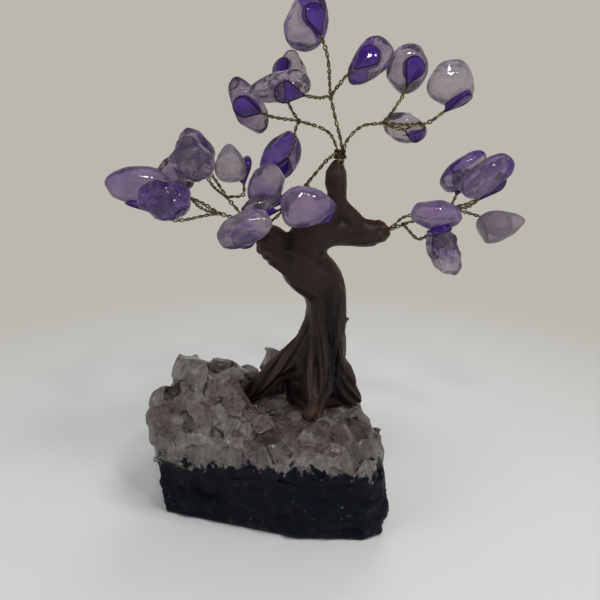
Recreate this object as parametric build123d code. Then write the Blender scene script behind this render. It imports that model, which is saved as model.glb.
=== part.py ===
from build123d import *
import math
import os

# A gemstone tree: a druse block with its foot painted, a moulded trunk on it, twisted branch wires,
# and tumbled stones glued on teardrop loops at the ends of the twigs. Millimetres, +Z up.
# The origin is the centre of the flat underside. X runs across the crown and -Y is the side seen first.

# Block of rock and crystals
block_length = 70.0
block_depth = 41.0
block_turn = -10.0
paint_height = 19.0
foot_taper = 4.0
foot_chamfer = 1.2
druse_rise = 27.5
crystal_radius = 5.6
crystal_sides = 6
crystal_skirt = 6.0
crystal_lean = 17.0
crystal_turn = 60.0
crystal_point = 4.6
core_inset = 4.0
core_rise = 9.0

# Trunk, from the crystals to the tip of the top stub
trunk_x = 14.5
trunk_y = 5.6
trunk_foot_height = 31.5
trunk_height = 72.0
trunk_width = 14.0
trunk_flatness_share = 0.8
root_width = 6.4
stub_width = 8.0

# Crown, from the stubs that carry it
crown_height = 74.0
crown_span = 102.0
crown_depth = 30.0

# Wire, loops and glue
wire_diameter = 0.42
pair_diameter = 0.86
stem_diameter = 1.10
wire_sides = 5
loop_radius = 2.7
loop_reach = 5.4
loop_neck = 0.6
twig_root = 0.8
glue_bulge = 0.45
glue_gap = 0.01
seat_gap = 0.12
seat_depth = 0.3
bundle_offset = 0.62
wire_bend_share = 0.45
twig_lead_share = 1 / 3
binding_width = 3.6
binding_height = 2.6

# Stones
stone_length = 14.0
stone_width = 11.0
stone_thickness = 8.0

# Cuts run past what they cut by this much
overrun = 150.0


def in_trunk(across_share, depth_share, up_share):
    """A point of the trunk, from shares of its height."""
    return Vector(
        trunk_x + trunk_height * across_share,
        trunk_y + trunk_height * depth_share,
        trunk_foot_height + trunk_height * up_share,
    )


# Block: each outline corner is a share of the block's length and depth
footprint_shares = [
    (-0.44, -0.33),
    (-0.08, -0.42),
    (0.15, -0.49),
    (0.43, -0.42),
    (0.48, -0.28),
    (0.46, 0.10),
    (0.34, 0.38),
    (0.08, 0.48),
    (-0.22, 0.50),
    (-0.43, 0.40),
    (-0.50, 0.10),
]


def block_place():
    return Rot(0, 0, block_turn)


def footprint(inset):
    """The rock's outline at the paint line, drawn in by inset."""
    length = block_length - 2 * inset
    depth = block_depth - 2 * inset
    corners = [(length * x_share, depth * y_share) for x_share, y_share in footprint_shares]
    return make_face(Polyline(*corners, close=True))


def make_base_rock():
    """The painted foot: sides that draw in downwards and a worn lower edge."""
    top = Plane.XY.offset(paint_height) * footprint(0)
    rock = extrude(top, amount=-paint_height, taper=foot_taper)
    worn = chamfer(rock.edges().group_by(Axis.Z)[0], foot_chamfer)
    return block_place() * worn


# Crystals stand in rows from the front of the block to its back, each row from left to right.
# The numbers are how high each point reaches, as shares of druse_rise above the paint line.
crystal_rise_shares = [
    (0.30, 0.42, 0.36, 0.43, 0.36, 0.42, 0.33, 0.36, 0.22),
    (0.52, 0.72, 0.66, 0.62, 0.55, 0.42, 0.52, 0.46, 0.30),
    (0.60, 0.98, 0.86, 0.70, 0.72, 0.56, 0.55, 0.50, 0.24),
    (0.46, 0.88, 0.92, 0.76, 1.00, 0.58, 0.50, 0.38, 0.16),
    (0.28, 0.50, 0.60, 0.56, 0.66, 0.48, 0.36, 0.22, 0.10),
]
row_reach_share = 0.42
column_reach_share = 0.455
shift_share = 0.30
size_swing_share = 0.16
shoulder_share = 0.62

# How far the wander of the points turns from each to the next, in radians
wander_x_share = 5.1
wander_y_share = 3.7
wander_size_share = 2.3
wander_turn_share = 1.9


def crystal(foot, tip, radius, turn):
    """A six-sided quartz point from foot to tip."""
    axis = tip - foot
    length = axis.length
    stand = Plane(origin=foot, z_dir=axis) * Rot(0, 0, turn)
    rise = max(length - crystal_point, length / 2)
    base = stand * RegularPolygon(radius, crystal_sides)
    shoulder = stand * Pos(0, 0, rise) * RegularPolygon(radius, crystal_sides)
    cap = stand * Pos(0, 0, length) * RegularPolygon(radius * (1 - shoulder_share), crystal_sides)
    return loft([base.face(), shoulder.face(), cap.face()], ruled=True)


def crystals():
    """Every point of the druse, leaning outwards towards the edge of the block."""
    found = []
    rows = len(crystal_rise_shares)
    for row, rises in enumerate(crystal_rise_shares):
        for column, rise_share in enumerate(rises):
            x_share = column_reach_share * (2 * column / (len(rises) - 1) - 1)
            y_share = row_reach_share * (2 * row / (rows - 1) - 1)
            count = row * len(rises) + column
            jog = crystal_radius * shift_share
            x = block_length * x_share + jog * math.sin(wander_x_share * count)
            y = block_depth * y_share + jog * math.cos(wander_y_share * count)
            radius = crystal_radius * (1 + size_swing_share * math.sin(wander_size_share * count))
            lean_x = math.radians(crystal_lean) * x_share / column_reach_share
            lean_y = math.radians(crystal_lean) * y_share / row_reach_share
            height = druse_rise * rise_share
            depth = height + crystal_skirt
            foot = Vector(
                x - depth * math.tan(lean_x),
                y - depth * math.tan(lean_y),
                paint_height - crystal_skirt,
            )
            tip = Vector(x, y, paint_height + height)
            turn = crystal_turn * math.sin(wander_turn_share * count)
            found.append(crystal(foot, tip, radius, turn))
    return found


# The seat under the trunk: the corners of its outline, as shares of the trunk's height
seat_shares = [
    (-0.36, 0.02),
    (-0.30, -0.09),
    (-0.10, -0.20),
    (0.04, -0.22),
    (0.19, -0.08),
    (0.19, 0.08),
    (0.10, 0.18),
    (-0.12, 0.18),
    (-0.20, 0.08),
]


# The solid stone under the seat, as a share of the seat's own outline
seat_stone_share = 0.58


def seat_outline(size_share):
    """The trunk's seat seen from above, at a share of its full size."""
    reach = trunk_height * size_share
    corners = [(reach * x_share, reach * y_share) for x_share, y_share in seat_shares]
    return Pos(trunk_x, trunk_y, 0) * make_face(Polyline(*corners, close=True))


def make_crystal_druse():
    """All the points grown together over a low core, cut level at the paint line and under the trunk."""
    core = extrude(
        Plane.XY.offset(paint_height) * footprint(core_inset), amount=core_rise, taper=foot_taper
    )
    mass = block_place() * core.fuse(*crystals())
    standing = split(mass, bisect_by=Plane.XY.offset(paint_height), keep=Keep.TOP)
    room = extrude(Pos(0, 0, trunk_foot_height) * seat_outline(1), amount=overrun)
    seat_stone = extrude(
        Pos(0, 0, paint_height) * seat_outline(seat_stone_share), amount=trunk_foot_height - paint_height
    )
    return standing.cut(room).fuse(seat_stone)


def direction(points, at):
    """The way the line through points runs at one of them."""
    before = points[max(at - 1, 0)]
    after = points[min(at + 1, len(points) - 1)]
    return (after - before).normalized()


def limb(points, widths, flatness_share):
    """A smooth limb through oval sections, as wide as widths says and flatter from front to back."""
    sections = []
    for at, (point, width) in enumerate(zip(points, widths)):
        section = Plane(origin=point, x_dir=(0, 1, 0), z_dir=direction(points, at))
        sections.append((section * Ellipse(width * flatness_share / 2, width / 2)).face())
    return loft(sections)


# Limbs: where each oval stands (across, depth, up, as shares of the trunk's height) and how wide it
# is (as a share of the width named with it)
bole_shares = [
    (0.00, 0.00, -0.05, 1.36),
    (-0.02, 0.00, 0.10, 1.14),
    (0.00, 0.00, 0.27, 0.96),
    (0.03, 0.00, 0.40, 0.82),
    (0.01, 0.00, 0.49, 0.92),
    (-0.055, 0.00, 0.585, 1.02),
    (-0.05, 0.00, 0.68, 0.86),
    (0.01, 0.00, 0.77, 0.66),
    (0.055, 0.00, 0.84, 0.46),
    (0.065, 0.00, 0.91, 0.42),
    (0.072, 0.00, 1.00, 0.25),
]
left_stub_shares = [
    (-0.03, 0.00, 0.57, 1.30),
    (-0.12, -0.01, 0.66, 1.10),
    (-0.20, -0.03, 0.71, 0.86),
    (-0.25, -0.05, 0.735, 0.56),
]
right_stub_shares = [
    (-0.02, 0.00, 0.70, 1.30),
    (0.08, 0.00, 0.715, 1.05),
    (0.17, 0.00, 0.71, 0.98),
    (0.235, -0.01, 0.72, 0.80),
    (0.265, -0.015, 0.735, 0.45),
]
left_root_shares = [
    (-0.03, 0.00, 0.30, 0.95),
    (-0.14, -0.01, 0.17, 1.00),
    (-0.24, -0.02, 0.08, 0.86),
    (-0.34, -0.02, -0.01, 0.45),
]
front_left_root_shares = [
    (0.00, -0.05, 0.34, 0.75),
    (-0.03, -0.11, 0.14, 0.80),
    (-0.05, -0.16, 0.04, 0.62),
    (-0.06, -0.20, -0.03, 0.40),
]
front_root_shares = [
    (0.03, -0.05, 0.40, 0.80),
    (0.03, -0.11, 0.20, 0.80),
    (0.01, -0.16, 0.05, 0.62),
    (0.00, -0.20, -0.03, 0.42),
]
right_root_shares = [
    (0.04, 0.00, 0.40, 0.70),
    (0.065, -0.01, 0.17, 1.20),
    (0.10, -0.02, 0.065, 1.10),
    (0.155, -0.03, 0.00, 0.70),
]
back_right_root_shares = [
    (0.06, 0.05, 0.34, 0.85),
    (0.08, 0.10, 0.12, 0.85),
    (0.10, 0.14, -0.03, 0.50),
]
back_left_root_shares = [
    (-0.02, 0.05, 0.34, 0.85),
    (-0.06, 0.10, 0.12, 0.90),
    (-0.10, 0.14, -0.03, 0.50),
]


def trunk_limb(shares, width, flatness_share):
    points = [in_trunk(*share[:3]) for share in shares]
    widths = [width * share[3] for share in shares]
    return limb(points, widths, flatness_share)


def make_trunk(wires):
    """The moulded trunk: a bole, two side stubs and six roots, level where they meet the crystals."""
    mass = trunk_limb(bole_shares, trunk_width, trunk_flatness_share)
    for stub_shares in (left_stub_shares, right_stub_shares):
        mass = mass.fuse(trunk_limb(stub_shares, stub_width, trunk_flatness_share))
    for root_shares in (
        left_root_shares,
        front_left_root_shares,
        front_root_shares,
        right_root_shares,
        back_right_root_shares,
        back_left_root_shares,
    ):
        mass = mass.fuse(trunk_limb(root_shares, root_width, 1))
    seat = Plane.XY.offset(trunk_foot_height)
    standing = split(mass, bisect_by=seat, keep=Keep.TOP)
    for wire in wires:
        standing = standing.cut(wire)
    return standing


def turn_angle(before, corner, after):
    return math.radians((corner - before).get_angle(after - corner))


def bend_radii(points):
    """The largest arc that each corner's two runs leave room for."""
    radii = []
    for before, corner, after in zip(points, points[1:], points[2:]):
        run = min((corner - before).length, (after - corner).length)
        radii.append(wire_bend_share * run / math.tan(turn_angle(before, corner, after) / 2))
    return radii


def wire_section(path, diameter):
    """The wire's section where its path starts, with a flat side towards the path's own plane."""
    start = Plane(origin=path @ 0, z_dir=path % 0)
    return start * RegularPolygon(diameter / 2, wire_sides, rotation=180 / wire_sides)


def tube(points, diameter):
    """A bent wire of few sides: straight runs joined by tangent arcs."""
    if len(points) > 2:
        path = FilletPolyline(*points, radius=bend_radii(points))
    else:
        path = Line(*points)
    return sweep(wire_section(path, diameter), path=path)


def loop_outline(inset):
    """One side of the teardrop in the loop's own plane, from its tip on +X to its far end."""
    radius = loop_radius - inset
    reach = loop_reach - 2 * inset
    touch = math.acos(radius / reach)
    half_way = (math.pi + touch) / 2
    start, middle = [
        (radius * math.cos(angle), radius * math.sin(angle)) for angle in (touch, half_way)
    ]
    return Line((reach, 0), start) + ThreePointArc(start, middle, (-radius, 0))


def make_loop():
    """The teardrop loop of single wire, its tip on +X."""
    path = loop_outline(0)
    one_side = Box(overrun, overrun, overrun, align=(Align.CENTER, Align.MIN, Align.CENTER))
    half = sweep(wire_section(path, wire_diameter), path=path) & one_side
    return half.fuse(mirror(half, about=Plane.XZ))


def make_pad():
    """The glue that fills the loop, from just outside the wire to the stone's seat on +Z."""
    inset = wire_diameter / 2 + glue_gap
    side = loop_outline(inset)
    outline = make_face(side + mirror(side, about=Plane.XZ))
    low = wire_diameter / 2 + glue_bulge
    high = wire_diameter / 2 + seat_gap
    return extrude(Pos(0, 0, -low) * outline, amount=low + high, dir=(0, 0, 1))


def tumbled_stone(size_shares, form_shares):
    """A tumbled stone, long on X and thin on Z: a turned outline, pressed flatter."""
    length = stone_length * size_shares[0]
    half = stone_width * size_shares[1] / 2
    thickness = stone_thickness * size_shares[2]
    belly_share, blunt_share, nose_share = form_shares
    tail = -length / 2
    nose = length / 2
    belly = tail + length * belly_share
    back = Bezier(
        (tail, 0), (tail, half * blunt_share), (belly + blunt_share * (tail - belly), half), (belly, half)
    )
    front = Bezier(
        (belly, half), (belly + nose_share * (nose - belly), half), (nose, half * nose_share), (nose, 0)
    )
    outline = make_face(back + front + Line((nose, 0), (tail, 0)))
    upper = revolve(outline, Axis.X, revolution_arc=180)
    whole = upper.fuse(mirror(upper, about=Plane.XY))
    return scale(whole, by=(1, 1, thickness / (2 * half)))


# Forms of stone: where it is widest along its length, how blunt its tail is and how blunt its nose
oval_shares = (0.50, 0.56, 0.56)
egg_shares = (0.40, 0.60, 0.46)
pear_shares = (0.34, 0.66, 0.34)
block_shares = (0.48, 0.74, 0.70)

# Stones by branch. Each has its place from where its branch starts (across, depth, up, as shares of
# the crown's sizes), its length, width and thickness as shares of the common ones, its form, its
# turn in the picture and out of it in degrees, and the side (x, y, z) that its loop is on
stone_table = {
    "left_low": {
        "left_1": ((-0.353, 0.23, 0.184), (1.46, 0.98, 1.05), oval_shares, 178, 8, (0, -0.2, -1)),
        "left_2": ((-0.276, 0.50, 0.198), (0.86, 1.02, 1.00), egg_shares, 120, 0, (0.3, 0.6, -1)),
        "left_3": ((-0.274, -0.14, 0.158), (0.98, 0.98, 1.00), block_shares, 170, 0, (0.5, 1, 0)),
    },
    "left_high": {
        "left_4": ((-0.209, 0.46, 0.306), (0.98, 0.86, 0.90), egg_shares, 118, 0, (0.2, 0.4, -1)),
        "left_5": ((-0.207, 0.02, 0.294), (0.90, 1.00, 0.95), block_shares, 120, 0, (0.3, 1, -0.3)),
        "left_6": ((-0.109, 0.30, 0.264), (0.80, 0.84, 0.85), pear_shares, 94, 0, (0.75, 0.3, -0.6)),
    },
    "front": {
        "front_1": ((-0.196, -0.20, -0.048), (0.94, 0.86, 0.95), oval_shares, 70, 0, (0.8, 0.3, -0.6)),
        "front_2": ((-0.215, -0.42, -0.104), (0.64, 0.52, 0.62), oval_shares, 20, 0, (1, 0.2, -0.2)),
        "front_3": ((-0.245, -0.66, -0.156), (1.16, 0.80, 0.90), oval_shares, 205, 0, (0.7, 0.8, 0.1)),
        "front_4": ((-0.082, -0.50, -0.092), (1.10, 1.02, 0.95), pear_shares, 5, 0, (0.1, 1, 0.35)),
    },
    "upper_left": {
        "upper_1": ((-0.248, 0.20, 0.226), (1.26, 0.80, 0.90), egg_shares, 118, 0, (0.1, -1, -0.2)),
        "upper_2": ((-0.134, 0.50, 0.324), (0.98, 0.98, 0.80), pear_shares, 84, 0, (0, -0.9, -0.6)),
        "upper_3": ((-0.161, 0.34, 0.020), (1.16, 0.96, 0.90), oval_shares, 62, 0, (0.3, -1, 0)),
    },
    "top": {
        "upper_4": ((-0.160, -0.16, 0.298), (1.20, 0.76, 0.90), egg_shares, 190, 0, (0.1, -1, -0.1)),
        "top_1": ((-0.089, 0.06, 0.530), (1.26, 1.04, 0.95), egg_shares, 80, 0, (0.5, -0.8, -0.1)),
        "upper_5": ((0.073, 0.13, 0.378), (1.08, 0.84, 0.90), egg_shares, 228, 0, (-0.5, -1, 0)),
    },
    "upper_right": {
        "upper_6": ((0.178, 0.24, 0.350), (0.98, 1.02, 0.90), oval_shares, 70, 0, (0.1, -1, -0.3)),
        "upper_7": ((0.285, 0.02, 0.312), (0.90, 1.16, 0.90), egg_shares, 80, 0, (0.05, -0.5, -1)),
        "upper_8": ((0.178, 0.25, 0.136), (0.90, 0.76, 0.75), oval_shares, 165, 0, (0.1, -1, 0)),
    },
    "right_high": {
        "right_3": ((0.251, 0.30, 0.214), (1.16, 0.72, 0.80), oval_shares, 42, 0, (0.2, 0.6, -1)),
        "right_4": ((0.291, -0.13, 0.232), (1.14, 0.78, 0.80), block_shares, 36, 0, (0.3, 0.8, -1)),
        "right_5": ((0.329, 0.42, 0.166), (0.90, 0.56, 0.60), oval_shares, 36, 0, (0.5, 0, -1)),
        "right_6": ((0.358, 0.13, 0.022), (1.02, 0.86, 0.90), pear_shares, 14, 0, (0, 1, 0)),
    },
    "right_low": {
        "right_1": ((0.150, -0.40, 0.114), (1.02, 0.74, 0.80), oval_shares, -8, 0, (0.1, 0, -1)),
        "right_2": ((0.190, -0.12, -0.050), (1.08, 0.76, 0.85), block_shares, -64, 0, (0.5, 1, 0.5)),
    },
}

# Where the wires in each stub start, from the middle of its tip, as shares of the stubs' width
wire_start_shares = {
    "left": (0.516, 0.075, -0.322),
    "top": (0.015, 0.000, -0.358),
    "right": (-0.536, 0.135, -0.248),
}
limb_of_stub = {"left": left_stub_shares, "top": bole_shares, "right": right_stub_shares}

# Each branch wire's stub, its stem from inside the stub to where its twigs part (across, depth, up,
# as shares of the crown's sizes), and its place in the bundle: how many offsets it stands to the
# right, and how many to the back
stem_table = {
    "left_low": (
        "left",
        [(0.000, 0.00, 0.000), (-0.048, -0.03, 0.050), (-0.092, 0.02, 0.078), (-0.136, 0.06, 0.094)],
        (0, -1),
    ),
    "left_high": (
        "left",
        [(0.000, 0.00, 0.000), (-0.048, -0.03, 0.050), (-0.086, 0.06, 0.100), (-0.119, 0.16, 0.144)],
        (0, 1),
    ),
    "front": (
        "top",
        [(0.000, 0.00, 0.000), (-0.002, -0.02, 0.052), (-0.023, -0.12, 0.052), (-0.058, -0.22, 0.008),
         (-0.088, -0.26, -0.040)],
        (-1, -1),
    ),
    "upper_left": (
        "top",
        [(0.000, 0.00, 0.000), (-0.002, 0.00, 0.070), (-0.028, 0.03, 0.134), (-0.107, 0.07, 0.172)],
        (-1, 1),
    ),
    "top": (
        "top",
        [(0.000, 0.00, 0.000), (-0.002, 0.00, 0.080), (-0.018, 0.00, 0.172), (-0.034, 0.00, 0.260)],
        (1, 1),
    ),
    "upper_right": (
        "top",
        [(0.000, 0.00, 0.000), (0.002, 0.00, 0.070), (0.015, 0.03, 0.112), (0.052, 0.07, 0.154),
         (0.105, 0.07, 0.164)],
        (1, -1),
    ),
    "right_high": (
        "right",
        [(0.000, 0.00, 0.000), (0.045, -0.03, 0.024), (0.085, 0.02, 0.062), (0.140, 0.05, 0.070),
         (0.190, 0.04, 0.092)],
        (0, 1),
    ),
    "right_low": (
        "right",
        [(0.000, 0.00, 0.000), (0.045, -0.03, 0.024), (0.077, -0.12, 0.054)],
        (0, -1),
    ),
}


def in_crown(stub, across_share, depth_share, up_share):
    """A point of the crown, measured from where the wires start inside the stub."""
    tip = in_trunk(*limb_of_stub[stub][-1][:3])
    start = tip + Vector(*wire_start_shares[stub]) * stub_width
    across = crown_span * across_share
    depth = crown_depth * depth_share
    return start + Vector(across, depth, crown_height * up_share)


def stem_points(stub, shares, place):
    """The stem's corners. Where it leaves the stub it stands beside its neighbours, clear of them."""
    right, back = place
    beside = Vector(right * bundle_offset, back * bundle_offset, 0)
    return [in_crown(stub, *share) + beside for share in shares]


def stone_place(centre, turn, swing):
    return Pos(*centre) * Rot(0, 0, swing) * Rot(0, -turn, 0) * Rot(90, 0, 0)


def loop_side(centre, side, towards):
    """The side of a stone that its loop is on, turned square to the way its twig comes."""
    way = (towards - centre).normalized()
    return (Vector(*side) - way * way.dot(Vector(*side))).normalized()


def seat_on(stone, centre, out):
    """The stone with the small flat it is glued by, on the side out, and the plane of that flat."""
    reach = Plane(origin=centre, z_dir=out).to_local_coords(stone).bounding_box().max.Z
    flat = Plane(origin=centre + out * (reach - seat_depth), z_dir=-out)
    return split(stone, bisect_by=flat, keep=Keep.TOP), flat


def loop_plane(flat, towards):
    """The plane of the loop under a stone's flat, its tip turned to where the twig comes from."""
    middle = flat.origin - flat.z_dir * (seat_gap + wire_diameter / 2)
    to_twig = towards - middle
    tip = to_twig - flat.z_dir * to_twig.dot(flat.z_dir)
    return Plane(origin=middle, x_dir=tip, z_dir=flat.z_dir)


def make_twig(plane, parting, start):
    """The twisted pair from where it leaves the stem to the tip of its loop."""
    tip = plane.from_local_coords(Vector(loop_reach - wire_diameter, 0, 0))
    lead = (tip - parting).length * twig_lead_share
    before = plane.from_local_coords(Vector(loop_reach + loop_neck + lead, 0, 0))
    return tube([start, before, tip], pair_diameter)


def make_branch(branch):
    """A branch's stones, its wire with all its loops, and its pads of glue."""
    stub, shares, place = stem_table[branch]
    stem = stem_points(stub, shares, place)
    parting = stem[-1]
    start = parting - direction(stem, len(stem) - 1) * twig_root
    wire = tube(stem, stem_diameter)
    loop = make_loop()
    pad = make_pad()
    pads = []
    stones = {}
    for name, (place_shares, size_shares, form_shares, turn, swing, side) in stone_table[branch].items():
        centre = in_crown(stub, *place_shares)
        whole = stone_place(centre, turn, swing) * tumbled_stone(size_shares, form_shares)
        stone, flat = seat_on(whole, centre, loop_side(centre, side, parting))
        plane = loop_plane(flat, parting)
        wire = wire.fuse(make_twig(plane, parting, start).fuse(plane * loop))
        pads.append(plane * pad)
        stones["gem_" + name] = stone
    return stones, wire, pads


def make_top_binding(wires):
    """The dark wire wound round the bundle, a short collar on the tip of the top stub."""
    line = [in_trunk(*share[:3]) for share in bole_shares]
    tip = Plane(origin=line[-1], z_dir=direction(line, len(line) - 1))
    collar = extrude(tip * Circle(binding_width / 2), amount=binding_height, taper=foot_taper)
    return collar.cut(*wires)


def write(name, shape):
    export_step(shape, os.path.join("parts", name + ".step"))


def main():
    os.makedirs("parts", exist_ok=True)
    rock = make_base_rock()
    druse = make_crystal_druse()
    write("base_rock", rock)
    write("crystal_druse", druse)
    all_wires = []
    for branch in stem_table:
        stones, wire, pads = make_branch(branch)
        for name, stone in stones.items():
            write(name, stone)
        write("branch_wire_" + branch, wire)
        write("glue_pads_" + branch, Compound(children=pads))
        all_wires.append(wire)
    write("trunk", make_trunk(all_wires))
    write("top_binding", make_top_binding(all_wires))


main()
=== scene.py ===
import math
import random
from collections import namedtuple

import bmesh
import bpy
import numpy as np
from mathutils import Matrix, Vector, noise
from mathutils.bvhtree import BVHTree
from mathutils.geometry import convex_hull_2d
from mathutils.kdtree import KDTree


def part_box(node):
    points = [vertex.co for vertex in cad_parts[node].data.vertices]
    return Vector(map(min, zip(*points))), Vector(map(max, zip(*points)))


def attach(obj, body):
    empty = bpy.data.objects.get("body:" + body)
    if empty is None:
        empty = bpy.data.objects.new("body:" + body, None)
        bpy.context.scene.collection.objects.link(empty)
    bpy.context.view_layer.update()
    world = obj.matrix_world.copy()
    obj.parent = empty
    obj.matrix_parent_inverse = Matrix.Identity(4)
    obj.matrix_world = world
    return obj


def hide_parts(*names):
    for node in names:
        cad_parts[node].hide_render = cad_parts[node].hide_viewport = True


# A gemstone tree: twisted wire, tumbled amethyst on glued loops, a moulded trunk on a quartz druse.
# Metres, +Z up, -Y is the side the camera sees first.

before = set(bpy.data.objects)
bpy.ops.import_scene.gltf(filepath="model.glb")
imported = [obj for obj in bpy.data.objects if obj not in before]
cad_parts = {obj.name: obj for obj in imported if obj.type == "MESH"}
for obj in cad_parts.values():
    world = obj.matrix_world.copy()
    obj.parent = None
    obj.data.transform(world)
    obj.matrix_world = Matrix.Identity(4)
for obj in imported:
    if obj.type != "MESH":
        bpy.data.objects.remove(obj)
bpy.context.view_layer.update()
MM = 0.001

# Crown, as in the solids
TRUNK_X, TRUNK_Y = 14.5 * MM, 5.6 * MM
TRUNK_FOOT, TRUNK_HEIGHT = 31.5 * MM, 72.0 * MM
CROWN_HEIGHT, CROWN_SPAN, CROWN_DEPTH = 74.0 * MM, 102.0 * MM, 30.0 * MM
STUB_WIDTH = 8.0 * MM
BUNDLE_OFFSET = 0.62 * MM
PAINT_HEIGHT = 19.0 * MM

# Wire and loops, as in the solids
WIRE_RADIUS = 0.21 * MM
LOOP_RADIUS = 2.7 * MM
LOOP_REACH = 5.4 * MM
LOOP_NECK = 0.6 * MM
TWIG_ROOT = 0.8 * MM
GLUE_INSET = 0.22 * MM

BRANCH_STONES = {
    "left_low": ["left_1", "left_2", "left_3"],
    "left_high": ["left_4", "left_5", "left_6"],
    "front": ["front_1", "front_2", "front_3", "front_4"],
    "upper_left": ["upper_1", "upper_2", "upper_3"],
    "top": ["upper_4", "top_1", "upper_5"],
    "upper_right": ["upper_6", "upper_7", "upper_8"],
    "right_high": ["right_3", "right_4", "right_5", "right_6"],
    "right_low": ["right_1", "right_2"],
}

# Where the wires start on each limb that carries some, from its tip, as shares of the stubs' width
WIRE_START_SHARES = {
    "left_stub": (0.516, 0.075, -0.322),
    "bole": (0.015, 0.000, -0.358),
    "right_stub": (-0.536, 0.135, -0.248),
}

# Each branch's limb, its place in the limb's bundle, and its stem from where the wires start
# (across, depth, up, as shares of the crown's sizes)
STEMS = {
    "left_low": ("left_stub", (0, -1), [
        (-0.048, -0.03, 0.050), (-0.092, 0.02, 0.078), (-0.136, 0.06, 0.094),
    ]),
    "left_high": ("left_stub", (0, 1), [
        (-0.048, -0.03, 0.050), (-0.086, 0.06, 0.100), (-0.119, 0.16, 0.144),
    ]),
    "front": ("bole", (-1, -1), [
        (-0.002, -0.02, 0.052), (-0.023, -0.12, 0.052), (-0.058, -0.22, 0.008), (-0.088, -0.26, -0.040),
    ]),
    "upper_left": ("bole", (-1, 1), [
        (-0.002, 0.00, 0.070), (-0.028, 0.03, 0.134), (-0.107, 0.07, 0.172),
    ]),
    "top": ("bole", (1, 1), [
        (-0.002, 0.00, 0.080), (-0.018, 0.00, 0.172), (-0.034, 0.00, 0.260),
    ]),
    "upper_right": ("bole", (1, -1), [
        (0.002, 0.00, 0.070), (0.015, 0.03, 0.112), (0.052, 0.07, 0.154), (0.105, 0.07, 0.164),
    ]),
    "right_high": ("right_stub", (0, 1), [
        (0.045, -0.03, 0.024), (0.085, 0.02, 0.062), (0.140, 0.05, 0.070), (0.190, 0.04, 0.092),
    ]),
    "right_low": ("right_stub", (0, -1), [
        (0.045, -0.03, 0.024), (0.077, -0.12, 0.054),
    ]),
}

# Axes of the trunk's limbs, as shares of its height (across, depth, up)
LIMB_SHARES = {
    "bole": [
        (0.00, 0.00, -0.05), (-0.02, 0.00, 0.10), (0.00, 0.00, 0.27), (0.03, 0.00, 0.40), (0.01, 0.00, 0.49),
        (-0.055, 0.00, 0.585), (-0.05, 0.00, 0.68), (0.01, 0.00, 0.77), (0.055, 0.00, 0.84),
        (0.065, 0.00, 0.91), (0.072, 0.00, 1.00),
    ],
    "left_stub": [(-0.03, 0.00, 0.57), (-0.12, -0.01, 0.66), (-0.20, -0.03, 0.71), (-0.25, -0.05, 0.735)],
    "right_stub": [
        (-0.02, 0.00, 0.70), (0.08, 0.00, 0.715), (0.17, 0.00, 0.71), (0.235, -0.01, 0.72),
        (0.265, -0.015, 0.735),
    ],
    "left_root": [(-0.03, 0.00, 0.30), (-0.14, -0.01, 0.17), (-0.24, -0.02, 0.08), (-0.34, -0.02, -0.01)],
    "front_left_root": [
        (0.00, -0.05, 0.34), (-0.03, -0.11, 0.14), (-0.05, -0.16, 0.04), (-0.06, -0.20, -0.03),
    ],
    "front_root": [(0.03, -0.05, 0.40), (0.03, -0.11, 0.20), (0.01, -0.16, 0.05), (0.00, -0.20, -0.03)],
    "right_root": [(0.04, 0.00, 0.40), (0.065, -0.01, 0.17), (0.10, -0.02, 0.065), (0.155, -0.03, 0.00)],
    "back_right_root": [(0.06, 0.05, 0.34), (0.08, 0.10, 0.12), (0.10, 0.14, -0.03)],
    "back_left_root": [(-0.02, 0.05, 0.34), (-0.06, 0.10, 0.12), (-0.10, 0.14, -0.03)],
}


def in_trunk(across, depth, up):
    """A place given in shares of the trunk's height, from its foot."""
    return Vector((
        TRUNK_X + TRUNK_HEIGHT * across, TRUNK_Y + TRUNK_HEIGHT * depth, TRUNK_FOOT + TRUNK_HEIGHT * up,
    ))


def in_crown(limb, across, depth, up):
    """A place given in shares of the crown's sizes, from where the limb's wires start."""
    start = in_trunk(*LIMB_SHARES[limb][-1]) + Vector(WIRE_START_SHARES[limb]) * STUB_WIDTH
    return start + Vector((CROWN_SPAN * across, CROWN_DEPTH * depth, CROWN_HEIGHT * up))


def picture_way(angle):
    """A direction in the picture, in degrees from the right, anticlockwise."""
    return math.cos(math.radians(angle)), 0, math.sin(math.radians(angle))


# Mesh helpers

# Points of a solid that are nearer than this are one point
WELD = 0.002 * MM


def link(name, mesh):
    obj = bpy.data.objects.new(name, mesh)
    bpy.context.scene.collection.objects.link(obj)
    return obj


def solid_copy(solid, name):
    """A copy of a solid's mesh, joined up where the file splits it at its edges."""
    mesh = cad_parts[solid].data.copy()
    mesh.materials.clear()
    bm = bmesh.new()
    bm.from_mesh(mesh)
    bmesh.ops.remove_doubles(bm, verts=bm.verts, dist=WELD)
    bm.to_mesh(mesh)
    bm.free()
    own_normals = mesh.attributes.get("custom_normal")
    if own_normals:
        mesh.attributes.remove(own_normals)
    return link(name, mesh)


def join_to(obj, mesh):
    """Adds a mesh to an object's own."""
    bm = bmesh.new()
    bm.from_mesh(obj.data)
    bm.from_mesh(mesh)
    bm.to_mesh(obj.data)
    bm.free()
    bpy.data.meshes.remove(mesh)


def settle(obj):
    """Applies the object's modifiers to its mesh."""
    depsgraph = bpy.context.evaluated_depsgraph_get()
    mesh = bpy.data.meshes.new_from_object(obj.evaluated_get(depsgraph))
    obj.modifiers.clear()
    old = obj.data
    obj.data = mesh
    mesh.name = obj.name
    bpy.data.meshes.remove(old)


def soften(obj, rounds):
    modifier = obj.modifiers.new("soften", "SMOOTH")
    modifier.factor = 0.5
    modifier.iterations = rounds


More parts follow.
